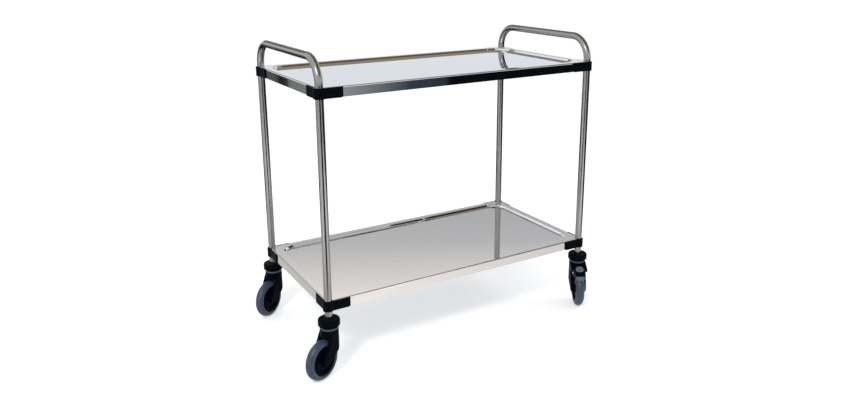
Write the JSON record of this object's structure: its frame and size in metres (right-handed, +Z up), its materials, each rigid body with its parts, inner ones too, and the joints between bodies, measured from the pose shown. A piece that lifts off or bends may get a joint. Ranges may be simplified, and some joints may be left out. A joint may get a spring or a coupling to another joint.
{
  "type": "serving trolley",
  "caption": "Free-standing steel serving trolley: bent tube hoops carry sunken pressed shelves in plastic corner brackets and stand on swivel castors, the right ones with foot brakes.",
  "frame": {"origin": "on the floor, under the middle of the four posts", "axes": "+X along the length from the left hoop to the right one, -Y the front that the picture shows, +Z up"},
  "size_m": [1.1589, 0.6434, 1.0205],
  "materials": {
    "stainless_tube": "polished",
    "stainless_sheet": "polished",
    "black_plastic": "satin",
    "black_rubber": "matte",
    "blue_grey_rubber": "satin",
    "blue_grey_plastic": "satin",
    "grey_plastic": "satin",
    "steel_fastener": "zinc plated"
  },
  "bodies": {
    "frame": {"hoop_left": "stainless_tube", "hoop_right": "stainless_tube", "upper_shelf": "stainless_sheet", "lower_shelf": "stainless_sheet", "upper_bracket_front_left": "black_plastic", "upper_bracket_rear_left": "black_plastic", "upper_bracket_front_right": "black_plastic", "upper_bracket_rear_right": "black_plastic", "lower_bracket_front_left": "black_plastic", "lower_bracket_rear_left": "black_plastic", "lower_bracket_front_right": "black_plastic", "lower_bracket_rear_right": "black_plastic", "shelf_screws": "steel_fastener", "post_screws": "steel_fastener", "post_expanders": "black_rubber", "castor_stems": "steel_fastener", "bumper_front_left": "black_plastic", "bumper_rear_left": "black_plastic", "bumper_front_right": "black_plastic", "bumper_rear_right": "black_plastic"},
    "fork_front_left": {"fork_front_left": "black_plastic", "swivel_ring_front_left": "blue_grey_plastic", "swivel_bearing_front_left": "steel_fastener", "axle_front_left": "steel_fastener", "axle_caps_front_left": "black_plastic"},
    "wheel_front_left": {"wheel_core_front_left": "black_plastic", "tyre_front_left": "blue_grey_rubber", "wheel_bearings_front_left": "steel_fastener"},
    "fork_rear_left": {"fork_rear_left": "black_plastic", "swivel_ring_rear_left": "blue_grey_plastic", "swivel_bearing_rear_left": "steel_fastener", "axle_rear_left": "steel_fastener", "axle_caps_rear_left": "black_plastic"},
    "wheel_rear_left": {"wheel_core_rear_left": "black_plastic", "tyre_rear_left": "blue_grey_rubber", "wheel_bearings_rear_left": "steel_fastener"},
    "fork_front_right": {"fork_front_right": "black_plastic", "swivel_ring_front_right": "blue_grey_plastic", "swivel_bearing_front_right": "steel_fastener", "axle_front_right": "steel_fastener", "axle_caps_front_right": "black_plastic", "pedal_pin_front_right": "steel_fastener"},
    "wheel_front_right": {"wheel_core_front_right": "black_plastic", "tyre_front_right": "blue_grey_rubber", "wheel_bearings_front_right": "steel_fastener"},
    "pedal_front_right": {"brake_pedal_front_right": "black_plastic", "pedal_pads_front_right": "grey_plastic"},
    "fork_rear_right": {"fork_rear_right": "black_plastic", "swivel_ring_rear_right": "blue_grey_plastic", "swivel_bearing_rear_right": "steel_fastener", "axle_rear_right": "steel_fastener", "axle_caps_rear_right": "black_plastic", "pedal_pin_rear_right": "steel_fastener"},
    "wheel_rear_right": {"wheel_core_rear_right": "black_plastic", "tyre_rear_right": "blue_grey_rubber", "wheel_bearings_rear_right": "steel_fastener"},
    "pedal_rear_right": {"brake_pedal_rear_right": "black_plastic", "pedal_pads_rear_right": "grey_plastic"}
  },
  "joints": [
    {"name": "swivel_front_left", "type": "hinge", "parent": "frame", "child": "fork_front_left", "pos_m": [-0.513, -0.258, 0.15], "axis": [0, 0, 1], "continuous": true},
    {"name": "roll_front_left", "type": "hinge", "parent": "fork_front_left", "child": "wheel_front_left", "pos_m": [-0.5494, -0.27459, 0.066], "axis": [0.4147, -0.91, 0], "continuous": true},
    {"name": "swivel_rear_left", "type": "hinge", "parent": "frame", "child": "fork_rear_left", "pos_m": [-0.513, 0.258, 0.15], "axis": [0, 0, 1], "continuous": true},
    {"name": "roll_rear_left", "type": "hinge", "parent": "fork_rear_left", "child": "wheel_rear_left", "pos_m": [-0.54597, 0.23534, 0.066], "axis": [0.5664, -0.8241, 0], "continuous": true},
    {"name": "swivel_front_right", "type": "hinge", "parent": "frame", "child": "fork_front_right", "pos_m": [0.513, -0.258, 0.15], "axis": [0, 0, 1], "continuous": true},
    {"name": "roll_front_right", "type": "hinge", "parent": "fork_front_right", "child": "wheel_front_right", "pos_m": [0.4918, -0.29192, 0.066], "axis": [0.848, -0.5299, 0], "continuous": true},
    {"name": "brake_front_right", "type": "hinge", "parent": "fork_front_right", "child": "pedal_front_right", "pos_m": [0.4865, -0.3004, 0.1425], "axis": [0.848, -0.5299, 0], "range_deg": [0, 5.5]},
    {"name": "swivel_rear_right", "type": "hinge", "parent": "frame", "child": "fork_rear_right", "pos_m": [0.513, 0.258, 0.15], "axis": [0, 0, 1], "continuous": true},
    {"name": "roll_rear_right", "type": "hinge", "parent": "fork_rear_right", "child": "wheel_rear_right", "pos_m": [0.47836, 0.238, 0.066], "axis": [0.5, -0.866, 0], "continuous": true},
    {"name": "brake_rear_right", "type": "hinge", "parent": "fork_rear_right", "child": "pedal_rear_right", "pos_m": [0.4697, 0.233, 0.1425], "axis": [0.5, -0.866, 0], "range_deg": [0, 5.5]}
  ]
}
